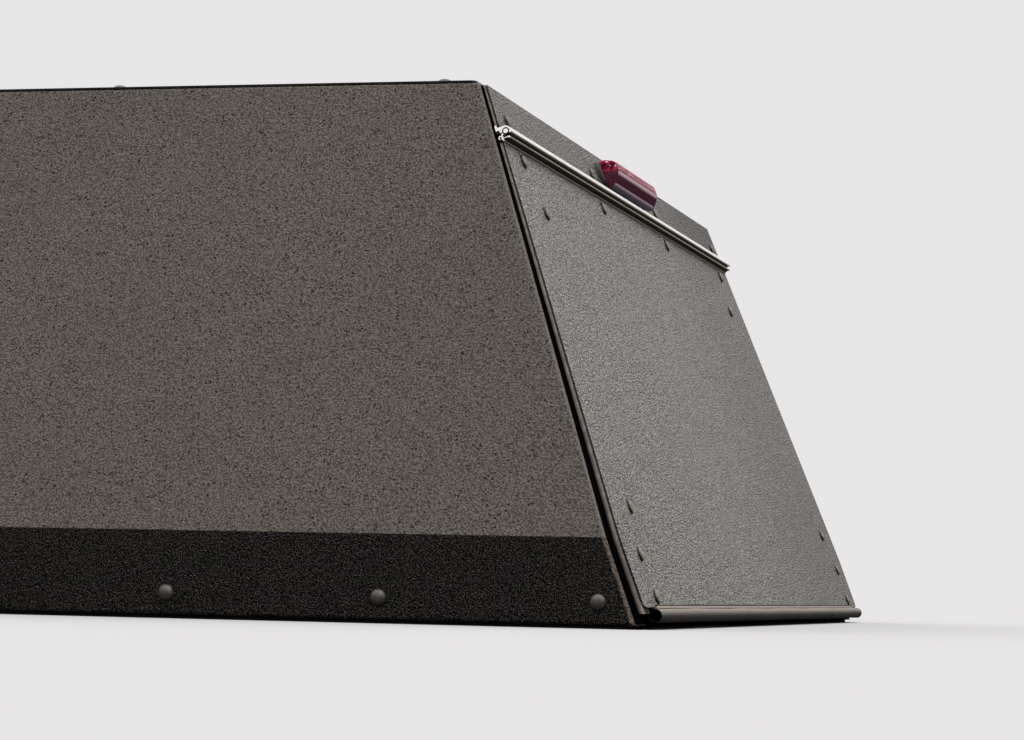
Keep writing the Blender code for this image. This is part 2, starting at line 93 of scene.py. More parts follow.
# Where the fasteners sit; a rivet's place is its distance from the middle and its height
BAND_BOLT_HEIGHT = 0.0241
BAND_BOLT_START = 0.0349
ROOF_BOLT_START = 0.0385
ROOF_BOLT_INSET = 0.018
HEADER_RIVETS = [(0.175, 0.4866), (0.555, 0.4866)]
DOOR_RIVETS = [(0.178, 0.4483), (0.543, 0.4483), (0.519, 0.4006), (0.617, 0.1131),
               (0.648, 0.0687), (0.642, 0.0298)]

# Where a frame seal is cut away below and above the hinge axis, how far inside the sides
# the hinge gets its whole section, and the slit that keeps the two sections apart
SEAL_CUT_BELOW = 0.0118
SEAL_CUT_ABOVE = 0.0058
HINGE_STEP = 0.0252
HINGE_SLIT = 0.00002

# Rings along the tube and the clip, and sides of the tube
TRIM_STEPS = 80
TUBE_SIDES = 24

# Values of the noise between which the coat's grain goes from dark to bright
GRAIN_EDGES = (0.36, 0.64)

BLACK = (0.001, 0.001, 0.001)
SHADE = (0.002, 0.002, 0.002)
# Brown painted shade on the hinge's lower parts
HINGE_UNDERSIDE_SHADE = (0.22, 0.17, 0.135)
HINGE_LIP_LIGHT = (0.50, 0.43, 0.36)
HINGE_HOLLOW_SHADE = (0.004, 0.004, 0.004)
BOLT_COAT = (0.028, 0.027, 0.025)
RIVET_COAT = (0.16, 0.130, 0.112)
LAMP_HOUSING = (0.075, 0.070, 0.066)
LENS_FOOT = (0.060, 0.052, 0.070)
FACET_DARK = (0.030, 0.004, 0.010)
FACET_DIM = (0.085, 0.018, 0.030)
FACET_GLINT = (0.46, 0.33, 0.35)
# Black strip in the hinge's channel, as painted shade
CHANNEL_SHADE = (0.003, 0.003, 0.003)

STEEL_NODES = [
    "base_rail_left", "base_rail_right", "front_base_angle", "front_roof_angle",
    "front_corner_post_left", "front_corner_post_right", "header_angle", "door_stile_left",
    "door_stile_right", "door_top_rail", "door_bottom_rail",
    *(piece + place for piece in ("roof_bow_", "left_rib_", "right_rib_")
      for place in ("rear", "middle", "front")),
]


def side_x(z, inset=0.0):
    """Half width at height z, on a face that lies inset inside the outer one."""
    knee = CREASE_HEIGHT - inset * tan(SIDE_LEAN / 2)
    return BASE_HALF - inset - max(0.0, z - knee) * tan(SIDE_LEAN)


def side_rear_y(z):
    return REAR_Y + (z - DECK) * tan(REAR_LEAN)


def door_y(z, stand=0.0):
    """The door's outer plane, or one that stands out from it by stand."""
    return REAR_Y - STAND_BASE + (z - DECK) * tan(DOOR_LEAN) - stand / cos(DOOR_LEAN)


def from_hinge(x, out, up):
    """A point given from the hinge axis, out of the door and up its slope."""
    return (x, HINGE.y + up * sin(DOOR_LEAN) - out * cos(DOOR_LEAN),
            HINGE.z + up * cos(DOOR_LEAN) + out * sin(DOOR_LEAN))


# Settings that a user would change

def colour(name, description, value):
    return FloatVectorProperty(name=name, description=description, subtype="COLOR",
                               size=3, min=0.0, max=1.0, default=value)


def length(name, description, value):
    return FloatProperty(name=name, description=description, subtype="DISTANCE",
                         unit="LENGTH", precision=4, min=0.0, default=value)


class CanopyCoat(PropertyGroup):
    panel_colour: colour("Panel colour", "Coat of the leaning sides, roof and front",
                         (0.103, 0.091, 0.083))
    # The band is painted darker than the panels, as painted shade on the upright band
    band_shade_colour: colour("Band colour", "Darker coat below the crease",
                        (0.0035, 0.0032, 0.0030))
    # The door and header are painted lighter than the panels, as painted light for the sheen
    # they catch
    door_lit_colour: colour("Door colour", "Coat of the rear door and header",
                        (0.148, 0.142, 0.130))
    # The band's rear edge is brown with wear, and is also a painted highlight of its bend
    wear_and_highlight_colour: colour("Worn colour", "Rubbed edge of the lower band", (0.20, 0.16, 0.135))
    grain: length("Grain", "Distance between the coat's pebbles", 0.0018)
    grain_depth: length("Grain depth", "Height of the coat's pebbles", 0.0014)
    pit_spacing: length("Pit spacing", "Distance between the deeper pits", 0.0050)


class CanopyFasteners(PropertyGroup):
    bolt_diameter: length("Bolt head diameter", "Dome bolts of the band and roof", 0.015)
    bolt_height: length("Bolt head height", "How far a dome bolt stands out", 0.0048)
    bolt_pitch: length("Band bolt pitch", "Distance between the band's bolts", 0.2064)
    bolt_count: IntProperty(name="Band bolts", description="Bolts along each band",
                            min=1, default=8)
    roof_pitch: length("Roof bolt pitch", "Distance between the roof's bolts", 0.336)
    roof_count: IntProperty(name="Roof bolts", description="Bolts along each roof edge",
                            min=1, default=5)
    rivet_diameter: length("Rivet head diameter", "Rivets of the door and header", 0.0148)
    rivet_height: length("Rivet head height", "How far a rivet stands out", 0.0034)


class CanopyTrim(PropertyGroup):
    rubber_colour: colour("Rubber colour", "Door and frame seals", (0.016, 0.015, 0.014))
    # Rubber beside the door: dust and a painted sheen
    dust_and_sheen_colour: colour("Dusty colour", "Weathered rubber next to the door",
                         (0.23, 0.20, 0.18))
    steel_colour: colour("Frame colour", "Painted frame inside the shell",
                         (0.006, 0.006, 0.006))
    metal_colour: colour("Hinge colour", "Bare aluminium of the hinge", (0.62, 0.61, 0.59))
    seal_wave: length("Seal wave", "How far the door's bottom seal strays", 0.0005)


class CanopyLamp(PropertyGroup):
    # The lens is painted pink on its upper part and maroon on its lower face, as painted light
    # and shade on one red
    lens_colour: colour("Lens colour", "Slanted lower face of the lens", (0.045, 0.015, 0.026))
    # End facets are painted bright red above, as painted light
    lit_facet_colour: colour("Facet colour", "Bright facets at the lens's ends",
                         (0.22, 0.018, 0.045))
    lit_top_colour: colour("Top colour", "Grooved front face of the lens", (0.33, 0.15, 0.18))
    # Painted highlight along the lens's edge
    edge_highlight_colour: colour("Edge colour", "Pale edge along the lens", (0.39, 0.29, 0.33))


class CanopyStage(PropertyGroup):
    backdrop_colour: colour("Backdrop colour", "Seen behind the canopy", (0.806, 0.791, 0.799))
    floor_colour: colour("Floor colour", "Plain pale floor", (0.400, 0.398, 0.413))
    bounce_colour: colour("Bounce colour", "Floor as it lights the canopy",
                          (0.10, 0.095, 0.09))
    sky_strength: FloatProperty(name="Sky strength", description="Bright sky overhead",
                                min=0.0, default=2.0)
    horizon_strength: FloatProperty(name="Horizon strength", min=0.0, default=0.045,
                                    description="Dark horizon behind the camera")
    sun_strength: FloatProperty(name="Sun strength", description="Soft sun from above",
                                min=0.0, default=1.0)


# Shader maths

class Amount:
    """A shader socket that can be used in sums, which adds its Math nodes."""

    def __init__(self, finish, socket):
        self.finish = finish
        self.socket = socket

    def math(self, operation, first, second=0.0):
        return self.finish.node("ShaderNodeMath", {"operation": operation}, [first, second])

    def __add__(self, other):
        return self.math("ADD", self, other)

    __radd__ = __add__

    def __sub__(self, other):
        return self.math("SUBTRACT", self, other)

    def __rsub__(self, other):
        return self.math("SUBTRACT", other, self)

    def __mul__(self, other):
        return self.math("MULTIPLY", self, other)

    __rmul__ = __mul__

    def __abs__(self):
        return self.math("ABSOLUTE", self)

    def root(self):
        return self.math("SQRT", self)

    def at_least(self, other):
        return self.math("MAXIMUM", self, other)


class Finish:
    """A procedural material, or the world, built node by node."""

    def __init__(self, name, holder=None):
        self.holder = holder or bpy.data.materials.new(name)
        self.holder.use_nodes = True
        self.tree = self.holder.node_tree
        self.tree.nodes.clear()

    def node(self, kind, settings=None, inputs=(), out=0):
        """Add a node, with its settings set before its sockets' values or links."""
        made = self.tree.nodes.new(kind)
        for name, value in (settings or {}).items():
            setattr(made, name, value)
        pairs = inputs.items() if isinstance(inputs, dict) else enumerate(inputs)
        for key, value in pairs:
            socket = made.inputs[key]
            if isinstance(value, Amount):
                self.tree.links.new(value.socket, socket)
            elif socket.type == "RGBA":
                socket.default_value = (*value, 1.0)
            else:
                socket.default_value = value
        return Amount(self, made.outputs[out] if made.outputs else None)

    def place(self):
        return self.node("ShaderNodeTexCoord", out="Object")

    def axes(self):
        """X, Y and Z of the surface point, in metres."""
        return self.split(self.place())

    def inset(self):
        """Distance of the surface point inside the side's outer face, in metres."""
        across, along, up = self.axes()
        lean = (up - CREASE_HEIGHT).at_least(0.0) * tan(SIDE_LEAN)
        return BASE_HALF - lean - abs(across)

    def split(self, vector):
        parts = self.node("ShaderNodeSeparateXYZ", inputs=[vector])
        return [Amount(self, parts.socket.node.outputs[axis]) for axis in "XYZ"]

    def stretched(self, *scales):
        """The surface point with its axes scaled, so that a pattern on it stretches."""
        return self.node("ShaderNodeMapping", None, {"Vector": self.place(), "Scale": scales})

    def noise(self, size, detail=2.0, place=None):
        return self.node("ShaderNodeTexNoise", None, {
            "Vector": place or self.place(), "Scale": 1.0 / size, "Detail": detail})

    def patches(self, size):
        """Soft patches of this size, from 0 to 1."""
        return self.between(self.noise(size, 3.0), 0.3, 0.7)

    def cells(self, size, randomness=1.0, out="Distance"):
        return self.node("ShaderNodeTexVoronoi", None, {
            "Vector": self.place(), "Scale": 1.0 / size, "Randomness": randomness}, out)

    def between(self, value, low, high):
        """0 where value is at or below low, 1 at or above high, smooth between."""
        return self.node("ShaderNodeMapRange", {"interpolation_type": "SMOOTHSTEP"}, {
            "Value": value, "From Min": low, "From Max": high})

    def mix(self, share, first, second):
        return self.node("ShaderNodeMix", {"data_type": "RGBA"},
                         {0: share, 6: first, 7: second}, out=2)

    def bump(self, height, distance):
        return self.node("ShaderNodeBump", None, {"Height": height, "Distance": distance})

    def done(self, **sockets):
        """Close the material with a Principled shader that takes these sockets."""
        inputs = {name.replace("_", " "): value for name, value in sockets.items()}
        return self.close(self.node("ShaderNodeBsdfPrincipled", None, inputs))

    def close(self, shader, kind="ShaderNodeOutputMaterial"):
        self.node(kind, None, {"Surface": shader})
        return self.holder


def tinted(base, share):
    return tuple(channel * share for channel in base)


def coat_grain(finish, ripple, base, settings, dark, bright):
    """Pebbled powder coat with pits: its colour, its height and its roughness; its dark and
    light grain is partly painted shade and light of the pebbles, and its pits are painted shade.
    """
    pebbles = finish.cells(settings.grain * 1.5)
    broad = finish.noise(0.11, 3.0)
    pits = ((1 - finish.between(finish.cells(settings.pit_spacing), 0.10, 0.29))
            * finish.between(finish.noise(0.011), 0.34, 0.58))
    # The grain's dark and light tones are partly the coat's own and partly painted shade and
    # light of the pebbles
    tone = finish.mix(finish.between(ripple, *GRAIN_EDGES), tinted(base, dark),
                      tinted(base, bright))
    tone = finish.mix(0.3 * broad, tone, tinted(base, 0.6))
    # Painted shade in the pits
    tone = finish.mix(0.97 * pits, tone, tinted(base, 0.04))
    height = ripple * 0.75 + (1 - pebbles) * 0.25 - pits * 0.5
    return tone, height, 0.44 + 0.08 * broad


def panel_coat(settings):
    """Coat of the sides, roof and front, with a painted highlight along the rear edge and
    painted shade on the roof's edge; the band below the crease is painted darker as its shade,
    with bright flecks painted as highlights and a brown rear edge showing wear that is also a
    painted highlight.
    """
    finish = Finish("panel coat")
    base, band = tuple(settings.panel_colour), tuple(settings.band_shade_colour)
    ripple = finish.noise(settings.grain, 1.0)
    tone, height, roughness = coat_grain(finish, ripple, base, settings, 0.5, 1.5)
    along, up = finish.axes()[1:]
    edge = (along - REAR_Y) * cos(REAR_LEAN) - (up - DECK) * sin(REAR_LEAN)
    # Painted highlight: a lighter strip along the rear edge, where the sheet's bend catches
    # light
    rim = 1 - finish.between(edge, 0.0016, 0.0026)
    tone = finish.mix(0.7 * rim, tone, tinted(base, 1.8))
    # Painted shade: the roof sheet's upright edge is painted black
    roof_edge_shade = (finish.between(up, HEIGHT - 0.0022, HEIGHT - 0.0020)
                 * (1 - finish.between(up, HEIGHT - 0.0002, HEIGHT - 0.0001)))
    tone = finish.mix(roof_edge_shade, tone, BLACK)
    # Painted highlights: bright flecks on the dark band for the light on its pebbles' tops
    speck_highlights = finish.between(finish.noise(settings.grain * 0.65, 1.0), 0.50, 0.66)
    low = finish.mix(speck_highlights, tinted(band, 0.1), tinted(band, 18.0))
    # Brown wear along the band's rear edge, which is also a painted highlight where the bend
    # catches light
    fray = finish.noise(0.006) * 0.0035
    wear_and_highlight = 1 - finish.between(edge + fray, 0.0038, 0.0062)
    rubbed_and_highlight = finish.mix(finish.between(ripple, *GRAIN_EDGES),
                        tinted(settings.wear_and_highlight_colour, 0.5), settings.wear_and_highlight_colour)
    low = finish.mix(wear_and_highlight, low, rubbed_and_highlight)
    # Below the crease the band's darker tone is painted shade
    below = 1 - finish.between(up, CREASE_HEIGHT - 0.0006, CREASE_HEIGHT + 0.0006)
    tone = finish.mix(below, tone, low)
    return finish.done(Base_Color=tone, Roughness=roughness - 0.14 * below,
                       Specular_IOR_Level=0.1,
                       Normal=finish.bump(height, settings.grain_depth))


def door_coat(settings):
    """Coat of the door and header, with painted shade to the right and on the header, painted
    highlights along the edges, a painted shadow under the hinge and cut edges painted black as
    shade.
    """
    finish = Finish("door coat")
    base = tuple(settings.door_lit_colour)
    ripple = finish.noise(settings.grain, 1.0, place=finish.stretched(0.55, 1.0, 1.0))
    tone, height, roughness = coat_grain(finish, ripple, base, settings, 0.0, 2.0)
    # Painted highlight along the edges of the door and header
    rim = 1 - finish.between(finish.inset(), 0.0018, 0.0034)
    tone = finish.mix(0.5 * rim, tone, tinted(base, 1.6))
    across, rise = finish.axes()[0], hinge_rise(finish)
    header = finish.between(rise, -0.002, 0.0)
    # Painted shade: the door is painted darker to the right, and the header darker still
    door_shade = (0.3 * finish.between(across, -0.1, 0.5)
              + header * (0.42 + 0.15 * finish.between(across, 0.1, 0.5)))
    tone = finish.mix(door_shade, tone, tinted(base, 0.04))
    # Painted shadow: a dark line on the door just under the hinge's lip, fading to the right
    hinge_shadow = (finish.between(rise, -0.0107, -0.0102) * (1 - header)
                   * (1 - finish.between(across, -0.2, 0.3)))
    # Painted shade: the sheets' cut edges at the sides are painted black
    edge_shade = (finish.between(door_depth(finish), 0.0002, 0.0004)
                * (1 - finish.between(finish.inset(), 0.0007, 0.0010)))
    tone = finish.mix(edge_shade.at_least(0.8 * hinge_shadow), tone, BLACK)
    return finish.done(Base_Color=tone, Roughness=roughness, Specular_IOR_Level=0.3,
                       Normal=finish.bump(height, 3.0 * settings.grain_depth))


def door_depth(finish):
    """Distance of the surface point behind the door's outer plane, in metres."""
    along, up = finish.axes()[1:]
    return (along - REAR_Y + STAND_BASE) * cos(DOOR_LEAN) - (up - DECK) * sin(DOOR_LEAN)


def hinge_rise(finish):
    """Distance of the surface point up the door's slope from the hinge axis."""
    along, up = finish.axes()[1:]
    return (up - HINGE.z) * cos(DOOR_LEAN) + (along - HINGE.y) * sin(DOOR_LEAN)


def painted_finish(name, base, roughness, sheen=0.2):
    """Plain satin paint with a faint orange peel."""
    finish = Finish(name)
    peel = finish.noise(0.0025, 1.0)
    broad = finish.noise(0.06, 3.0)
    tone = finish.mix(broad, tinted(base, 0.7), tinted(base, 1.4))
    return finish.done(Base_Color=tone, Roughness=roughness + 0.12 * (broad - 0.5),
                       Specular_IOR_Level=sheen, Normal=finish.bump(peel, 0.00008))


def rubber_finish(base, dust_and_sheen):
    """Black rubber, brown and grey where it stands out beside the door as dust and a painted
    highlight, and left black next to the door's edge as painted shade.
    """
    finish = Finish("seal rubber")
    depth = door_depth(finish)
    # Dust and a painted highlight on the strip's rounded face; the rubber next to the door stays
    # black as painted shade
    near = (finish.between(depth, 0.0018, 0.0025) * (1 - finish.between(depth, 0.0024, 0.0085))
            * (1 - finish.between(finish.inset(), 0.0035, 0.0065)))
    streak = finish.noise(0.5, place=finish.stretched(9.0, 120.0, 9.0))
    dust = near * (0.55 + 0.45 * finish.patches(0.008))
    tone = finish.mix(dust, base, dust_and_sheen)
    streaks = finish.between(streak, 0.45, 0.75) * near * 0.4
    tone = finish.mix(streaks, tone, tinted(dust_and_sheen, 0.55))
    inner = finish.between(finish.inset(), 0.0040, 0.0060)
    return finish.done(Base_Color=tone, Roughness=0.38 + 0.3 * near + 0.55 * inner,
                       Specular_IOR_Level=0.15,
                       Normal=finish.bump(finish.noise(0.0012, 1.0), 0.00006))


def tube_finish(base, dust_and_sheen, box):
    """Rubber tube, lighter on top with dust and a painted highlight, black below, and painted
    shade inside and on its cut ends.
    """
    low, high = box
    finish = Finish("tube rubber")
    across, along, up = finish.axes()
    out, rise = along - (low.y + high.y) / 2, up - (low.z + high.z) / 2
    far = (out * out + rise * rise).root()
    # Painted shade inside the tube and on its cut ends
    skin = (finish.between(far, 0.0058, 0.0062)
            * (1 - finish.between(abs(across), high.x - 0.0012, high.x - 0.0004)))
    # Lighter on top: dust and a painted highlight
    tone = finish.mix(finish.between(rise - 0.3 * out, 0.0010, 0.0082), base, dust_and_sheen)
    tone = finish.mix(0.3 * finish.patches(0.006), tone, tinted(dust_and_sheen, 0.5))
    tone = finish.mix(skin, BLACK, tone)
    return finish.done(Base_Color=tone, Roughness=0.6, Specular_IOR_Level=0.1,
                       Normal=finish.bump(finish.noise(0.0012, 1.0), 0.00006))


def lip_finish(dust_and_sheen, edge):
    """Pale clip, with a painted shadow where it tucks in under the door sheet's edge."""
    finish = Finish("lip rubber")
    tone = finish.mix(0.4 * finish.patches(0.006), dust_and_sheen, tinted(dust_and_sheen, 0.6))
    # Painted shadow under the door sheet's edge
    tucked_shadow = finish.between(hinge_rise(finish), edge + 0.0007, edge + 0.0011)
    tone = finish.mix(tucked_shadow, tone, SHADE)
    return finish.done(Base_Color=tone, Roughness=0.6, Specular_IOR_Level=0.1)


def aluminium_finish(base):
    """Extruded aluminium with fine draw lines along X and patches of grime, with painted shade
    on its lower parts, in its gap and in its hollows, and its lowest lip painted lighter.
    """
    finish = Finish("hinge aluminium")
    lines = finish.noise(1.0, place=finish.stretched(2.0, 900.0, 900.0))
    grime = finish.between(finish.noise(0.03, 3.0), 0.45, 0.8)
    tone = finish.mix(grime * 0.3, base, tinted(base, 0.6))
    rise, depth = hinge_rise(finish), door_depth(finish)
    end = 1 - finish.between(finish.inset(), -0.0019, -0.0014)
    # Painted shade in brown on the parts below the hood, but not on the hinge's ends
    below = (1 - finish.between(rise, -0.0036, -0.0026)) * (1 - end)
    tone = finish.mix(below, tone, HINGE_UNDERSIDE_SHADE)
    # Painted light: the lowest lip is painted lighter than the painted shade above it
    lip = below * (1 - finish.between(rise, -0.0083, -0.0079))
    tone = finish.mix(lip, tone, HINGE_LIP_LIGHT)
    # Painted shade in the gap under the hood's lip
    gap = (finish.between(rise, -0.00597, -0.0059)
           * (1 - finish.between(rise, -0.0030, -0.0027)) * (1 - end))
    tone = finish.mix(gap, tone, SHADE)
    out = depth + HINGE_STAND
    far = (out * out + rise * rise).root()
    # Painted shade in the socket's slot and on faces behind the door's plane
    slot = finish.between(far, 0.0022, 0.0025) * (1 - finish.between(far, 0.0035, 0.0037))
    behind = finish.between(depth, 0.0004, 0.0012)
    flange = (finish.between(rise, -0.0024, -0.0018)
              * (1 - finish.between(rise, 0.0022, 0.0028)))
    hidden_shade = slot.at_least(behind * (1 - end * (1 - flange)))
    tone = finish.mix(hidden_shade, tone, HINGE_HOLLOW_SHADE)
    return finish.done(Base_Color=tone, Metallic=0.6 * (1 - below) * (1 - hidden_shade),
                       Roughness=0.36 + 0.14 * lines + 0.5 * gap, Specular_IOR_Level=0.1,
                       Normal=finish.bump(lines, 0.00004))


def foam_finish():
    """Black closed cell foam with its pores."""
    finish = Finish("foam")
    pores = finish.cells(0.0009)
    tone = finish.mix(finish.between(pores, 0.2, 0.6), (0.006, 0.006, 0.006),
                      (0.025, 0.024, 0.023))
    return finish.done(Base_Color=tone, Roughness=0.95,
                       Normal=finish.bump(pores, 0.0003))


def dress(nodes, material):
    """Give CAD nodes their material."""
    for name in nodes:
        for place in frame["nodes"][name].material_slots:
            place.material = material


# Meshes

def solid(name, points, faces):
    """A mesh whose faces point outwards; add_piece makes it smooth but for its sharp edges."""
    mesh = bpy.data.meshes.new(name)
    mesh.from_pydata(points, [], faces)
    work = bmesh.new()
    work.from_mesh(mesh)
    bmesh.ops.remove_doubles(work, verts=work.verts, dist=0.00001)
    bmesh.ops.recalc_face_normals(work, faces=work.faces)
    work.to_mesh(mesh)
    work.free()
    return mesh


def loft(name, rings, looped=False):
    """Join each ring of points to the next, with caps, or in a loop without them."""
    count = len(rings[0])
    points = [point for ring in rings for point in ring]
    faces = []
    for level in range(len(rings) if looped else len(rings) - 1):
        low = level * count
        high = (level + 1) % len(rings) * count
        for corner in range(count):
            after = (corner + 1) % count
            faces.append((low + corner, low + after, high + after, high + corner))
    if not looped:
        faces += [list(range(count)), list(range(len(points) - count, len(points)))]
    return solid(name, points, faces)


def joined(name, meshes):
    """Several meshes as one."""
    work = bmesh.new()
    for mesh in meshes:
        work.from_mesh(mesh)
        bpy.data.meshes.remove(mesh)
    whole = bpy.data.meshes.new(name)
    work.to_mesh(whole)
    work.free()
    return whole


def add_piece(name, mesh, material, body, replaced=(), sharp=radians(35)):
    """Put a finished mesh in the scene, on its body and in place of CAD nodes."""
    mesh.shade_smooth()
    mesh.set_sharp_from_angle(angle=sharp)
    mesh.materials.clear()
    mesh.materials.append(material)
    piece = bpy.data.objects.new(name, mesh)
    bpy.context.scene.collection.objects.link(piece)
    if replaced:
        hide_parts(*replaced)
    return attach(piece, body)


def arc(centre, radius, start, stop, steps):
    points = []
    for step in range(steps + 1):
        angle = start + (stop - start) * step / steps
        points.append((centre[0] + radius * cos(angle), centre[1] + radius * sin(angle)))
    return points


def crosswise(name, parts):
    """Sections of (out, up) from the hinge axis, swept along X between two ends each."""
    rings, faces = [], []
    for section, left, right in parts:
        count, first = len(section), len(rings)
        places = [from_hinge(0.0, out, up) for out, up in section]
        rings += [(left(z), y, z) for x, y, z in places]
        rings += [(right(z), y, z) for x, y, z in places]
        for corner in range(count):
            after = (corner + 1) % count
            faces.append((first + corner, first + after, first + count + after,
                          first + count + corner))
        faces.append([first + corner for corner in range(count)])
        faces.append([first + count + corner for corner in range(count)])
    return solid(name, rings, faces)


# Fasteners by Geometry Nodes

def head_mesh(name, profile):
    """A head of revolution from (radius, height) points, for a head 1 wide and 1 high."""
    turns = [2 * pi * step / HEAD_SIDES for step in range(HEAD_SIDES)]
    rings = [[(radius * cos(turn), radius * sin(turn), height) for turn in turns]
             for radius, height in profile]
    return loft(name, rings)


def head_tree():
    """Put a head on each vertex, turned to the vertex's axis attribute."""
    tree = bpy.data.node_groups.new("Fastener heads", "GeometryNodeTree")
    for name, kind in (("Geometry", "NodeSocketGeometry"), ("Head", "NodeSocketObject"),
                       ("Diameter", "NodeSocketFloat"), ("Height", "NodeSocketFloat"),
                       ("Finish", "NodeSocketMaterial")):
        tree.interface.new_socket(name, in_out="INPUT", socket_type=kind)
    tree.interface.new_socket("Geometry", in_out="OUTPUT", socket_type="NodeSocketGeometry")

    def node(kind, settings, *links):
        made = tree.nodes.new(kind)
        for key, value in settings.items():
            setattr(made, key, value)
        for socket, source in links:
            tree.links.new(source, made.inputs[socket])
        return made

    given = node("NodeGroupInput", {}).outputs
    axis = node("GeometryNodeInputNamedAttribute", {"data_type": "FLOAT_VECTOR"})
    axis.inputs["Name"].default_value = "axis"
    stand = node("FunctionNodeAlignRotationToVector", {"axis": "Z"},
                 ("Vector", axis.outputs["Attribute"]))
    spin = node("FunctionNodeRandomValue", {"data_type": "FLOAT"})
    spin.inputs[3].default_value = 2 * pi
    spin.inputs["Seed"].default_value = 7
    twist = node("FunctionNodeAxisAngleToRotation", {}, ("Angle", spin.outputs[1]))
    turned = node("FunctionNodeRotateRotation", {"rotation_space": "LOCAL"},
                  ("Rotation", stand.outputs[0]), ("Rotate By", twist.outputs[0]))
    size = node("ShaderNodeCombineXYZ", {}, ("X", given["Diameter"]),
                ("Y", given["Diameter"]), ("Z", given["Height"]))
    head = node("GeometryNodeObjectInfo", {"transform_space": "ORIGINAL"},
                ("Object", given["Head"]))
    placed = node("GeometryNodeInstanceOnPoints", {}, ("Points", given["Geometry"]),
                  ("Instance", head.outputs["Geometry"]),
                  ("Rotation", turned.outputs[0]), ("Scale", size.outputs[0]))
    real = node("GeometryNodeRealizeInstances", {}, ("Geometry", placed.outputs[0]))
    painted = node("GeometryNodeSetMaterial", {}, ("Geometry", real.outputs[0]),
                   ("Material", given["Finish"]))
    node("NodeGroupOutput", {}, ("Geometry", painted.outputs[0]))
    return tree


def fasten(name, places, head, diameter, height, material, body):
    """One mesh with a head at each (point, axis), on one body."""
    mesh = bpy.data.meshes.new(name)
    mesh.from_pydata([point for point, axis in places], [], [])
    axes = mesh.attributes.new("axis", "FLOAT_VECTOR", "POINT")
    for number, (point, axis) in enumerate(places):
        axes.data[number].vector = axis
    seed = bpy.data.objects.new(name + "_places", mesh)
    model = bpy.data.objects.new(name + "_head", head)
    for item in (seed, model):
        bpy.context.scene.collection.objects.link(item)
    tree = head_tree()
    modifier = seed.modifiers.new("heads", "NODES")
    modifier.node_group = tree
    values = {"Head": model, "Diameter": diameter, "Height": height, "Finish": material}
    for item in tree.interface.items_tree:
        if item.in_out == "INPUT" and item.name in values:
            modifier[item.identifier] = values[item.name]
    graph = bpy.context.evaluated_depsgraph_get()
    heads = bpy.data.meshes.new_from_object(seed.evaluated_get(graph))
    for item in (seed, model):
        bpy.data.objects.remove(item)
    return add_piece(name, heads, material, body)


HEAD_SIDES = 20
BOLT_PROFILE = [(0.44, -0.06), (0.5, -0.06), (0.5, 0.16), (0.485, 0.30), (0.44, 0.52),
                (0.36, 0.74), (0.25, 0.90), (0.12, 0.98), (0.04, 1.0)]
RIVET_PROFILE = [(0.44, -0.08), (0.5, -0.08), (0.5, 0.12), (0.46, 0.40), (0.37, 0.70),
                 (0.24, 0.90), (0.12, 0.98), (0.04, 1.0)]


def head_finish(name, base, settings, gloss, shaded_rim=False):
    """Coat on a bolt or rivet head, with a black rim of painted shade where a rivet meets the
    door.
    """
    finish = Finish(name)
    patchy = finish.noise(0.004, 3.0)
    tone = finish.mix(finish.between(patchy, 0.35, 0.7), tinted(base, 0.6), tinted(base, 1.6))
    if shaded_rim:
        # Painted shade where the rivet meets the door
        rim = finish.between(door_depth(finish), -0.0024, -0.0016)
        tone = finish.mix(rim, tone, BLACK)
    return finish.done(Base_Color=tone, Roughness=0.5, Specular_IOR_Level=gloss,
                       Normal=finish.bump(finish.noise(settings.grain * 0.6, 1.0), 0.0002))


# Operators

class CANOPY_OT_coat(Operator):
    """Paint the shell's sheets with the textured coat"""

    bl_idname = "canopy.coat"
    bl_label = "Paint the Shell"

    def execute(self, context):
        coat = context.scene.canopy_coat
        dress(["left_side_panel", "right_side_panel", "roof_panel", "front_panel"],
              panel_coat(coat))
        dress(["door_skin", "rear_header_panel"], door_coat(coat))
        return {"FINISHED"}


class CANOPY_OT_frame(Operator):
    """Paint the steel frame inside the shell and lay the foam under it"""

    bl_idname = "canopy.frame"
    bl_label = "Paint the Frame"

    def execute(self, context):
        trim = context.scene.canopy_trim
        steel = tuple(trim.steel_colour)
        dress(STEEL_NODES, painted_finish("frame paint", steel, 0.5))
        # The jambs are painted near black without sheen, as painted shade beside the door
        dress(["rear_jamb_left", "rear_jamb_right"],
              painted_finish("jamb shade", tinted(steel, 0.3), 0.8, 0.0))
        dress(["base_seal_left", "base_seal_right", "base_seal_front"], foam_finish())
        return {"FINISHED"}


# Sections of the hinge, as (out, up) from its axis in metres
HOOD_MIDDLE = (-0.0022, -0.0026)
HOOD_REACH = (0.0073, 0.0082)
HOOD_FLANGE = [(-0.0088, 0.030), (-0.0068, 0.030), (-0.0068, 0.0056)]
HOOD_FOOT = (-0.0088, -0.0008)
HOOD_TAB = [(-0.0092, -0.0008), (-0.0092, 0.0086), (-0.0072, 0.0086), (-0.0072, 0.0056)]
ARM_PLATE = [(-0.0051, -0.0070), (-0.0088, -0.0070), (-0.0088, -0.030), (-0.0068, -0.030),
             (-0.0068, -0.0085)]
ARM_FOOT = (-0.0051, -0.0085)
ARM_LIP = [(-0.0039, -0.0068), (-0.0039, -0.0089), (-0.0041, -0.0092), (-0.0047, -0.0092),
           (-0.0047, -0.0085)]
RIB_EDGE = [(0.0024, -0.0075), (0.0022, -0.0077), (0.0010, -0.0077), (0.0006, -0.0073),
            (0.0006, -0.0068)]
CURL_CENTRE = (-0.0066, -0.0052)
STRIP = [(0.00055, -0.00682), (-0.00385, -0.00682), (-0.00385, -0.0084),
         (-0.0031, -0.0080), (-0.0023, -0.0075), (0.00055, -0.0073)]


